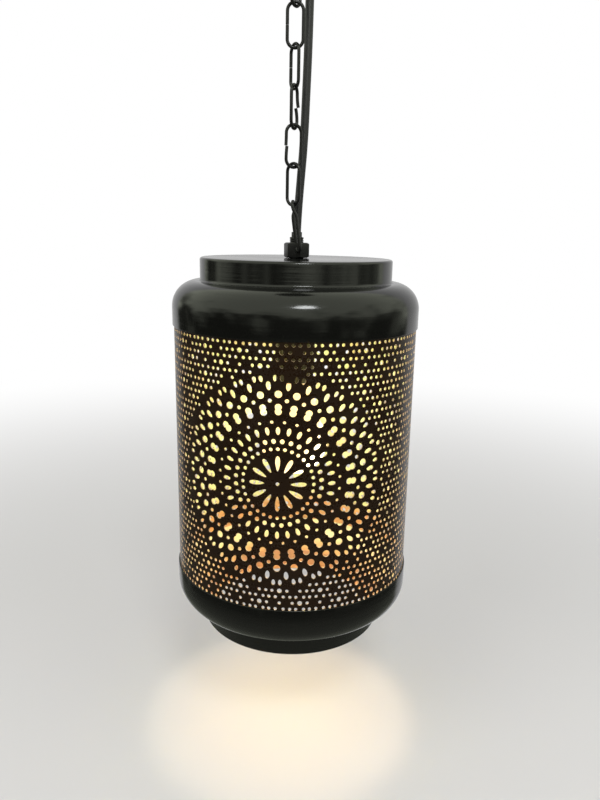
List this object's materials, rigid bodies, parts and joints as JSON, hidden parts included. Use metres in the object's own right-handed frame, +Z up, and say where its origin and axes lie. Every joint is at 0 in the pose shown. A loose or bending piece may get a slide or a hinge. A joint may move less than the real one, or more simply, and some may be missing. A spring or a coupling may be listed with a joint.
{
  "type": "pierced metal pendant lantern",
  "caption": "Round pierced sheet-metal lantern with stepped caps and an open foot, hung by a bent-wire chain and flex from a ceiling canopy, with a screw-in bulb inside.",
  "frame": {"origin": "on the ceiling, at the top of the strap, straight above the chain", "axes": "+Z up along the chain; the drum's front medallion faces -Y"},
  "size_m": [0.2, 0.2, 0.5698],
  "materials": {
    "black_enamel": "glossy black outside, gold paint inside the drum",
    "blackened_steel": "black lacquered steel",
    "zinc_steel": "zinc plated",
    "black_nylon": "moulded",
    "flex_sheath": "smooth flexible sheath",
    "dark_phenolic": "moulded",
    "glazed_ceramic": "glazed",
    "plated_brass": "plated",
    "opal_glass": "opal, lit"
  },
  "bodies": {
    "ceiling_fitting": {"ceiling_strap": "zinc_steel", "ceiling_canopy": "blackened_steel", "canopy_loop": "blackened_steel", "canopy_nut": "blackened_steel", "canopy_bush": "black_nylon", "terminal_block": "black_nylon"},
    "chain_upper": {"chain_link_1": "blackened_steel", "chain_link_2": "blackened_steel", "flex_upper": "flex_sheath"},
    "chain_middle": {"chain_link_3": "blackened_steel", "chain_link_4": "blackened_steel", "flex_middle_upper": "flex_sheath"},
    "chain_lower": {"chain_link_5": "blackened_steel", "chain_link_6": "blackened_steel", "flex_middle_lower": "flex_sheath"},
    "lantern": {"chain_link_7": "blackened_steel", "hanger_nut": "blackened_steel", "threaded_nipple": "blackened_steel", "flex_liner": "black_nylon", "lid_washer": "zinc_steel", "lock_nut": "zinc_steel", "top_cap": "black_enamel", "pierced_drum": "black_enamel", "bottom_cap": "black_enamel", "holder_cap": "dark_phenolic", "holder_shell": "dark_phenolic", "contact_block": "glazed_ceramic", "centre_contact": "plated_brass", "bulb_screw_cap": "plated_brass", "bulb_glass": "opal_glass", "flex_lower": "flex_sheath"}
  },
  "joints": [
    {"name": "chain_upper_swing", "type": "hinge", "parent": "ceiling_fitting", "child": "chain_upper", "pos_m": [0, 0, -0.04965], "axis": [-0.515, 0.8572, 0], "range_deg": [-25, 25], "deforming": ["flex_upper"]},
    {"name": "chain_middle_swing", "type": "hinge", "parent": "chain_upper", "child": "chain_middle", "pos_m": [0, 0, -0.1054], "axis": [0.9945, 0.1045, 0], "range_deg": [-25, 25], "deforming": ["flex_middle_upper"]},
    {"name": "chain_lower_swing", "type": "hinge", "parent": "chain_middle", "child": "chain_lower", "pos_m": [0, 0, -0.1614], "axis": [-0.2588, -0.9659, 0], "range_deg": [-25, 25], "deforming": ["flex_middle_lower"]},
    {"name": "lantern_swing", "type": "hinge", "parent": "chain_lower", "child": "lantern", "pos_m": [0, 0, -0.2174], "axis": [-0.8387, 0.5446, 0], "range_deg": [-25, 25], "deforming": ["flex_lower"]}
  ]
}
